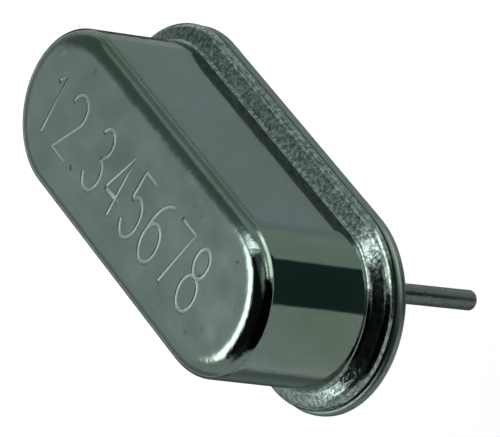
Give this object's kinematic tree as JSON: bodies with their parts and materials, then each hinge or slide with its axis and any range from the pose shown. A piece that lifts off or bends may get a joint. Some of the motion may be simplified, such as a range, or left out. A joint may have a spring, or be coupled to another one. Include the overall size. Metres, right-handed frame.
{
  "type": "crystal oscillator",
  "caption": "Low obround metal can welded to a base plate with two round leads through glass seals, holding a quartz blank on spring clips; sets the clock frequency of a circuit.",
  "frame": {"origin": "middle of the seating plane, which is the base plate's flat underside, halfway between the two leads", "axes": "+X along the can, towards the long lead; +Y across it; +Z from the seating plane to the can's top; the leads point along -Z"},
  "size_m": [0.0113, 0.0046, 0.0078],
  "materials": {
    "can_steel": "nickel-plated steel, drawn, satin and slightly mottled",
    "base_steel": "nickel-plated steel, stamped, dull satin",
    "seal_glass": "dark green-grey sealing glass, glossy",
    "lead_wire": "drawn iron-nickel wire, plated, satin",
    "clip_spring": "nickel-silver strip, satin",
    "quartz": "clear quartz, finely lapped",
    "silver_film": "evaporated silver, smooth",
    "silver_epoxy": "silver-filled epoxy, matt"
  },
  "bodies": {
    "root": {"base_plate": "base_steel", "cover": "can_steel", "glass_seal_1": "seal_glass", "glass_seal_2": "seal_glass", "long_lead_wire": "lead_wire", "short_lead_wire": "lead_wire", "support_clip_1": "clip_spring", "support_clip_2": "clip_spring", "quartz_blank": "quartz", "top_electrode": "silver_film", "bottom_electrode": "silver_film", "bond_1": "silver_epoxy", "bond_2": "silver_epoxy"}
  },
  "joints": []
}
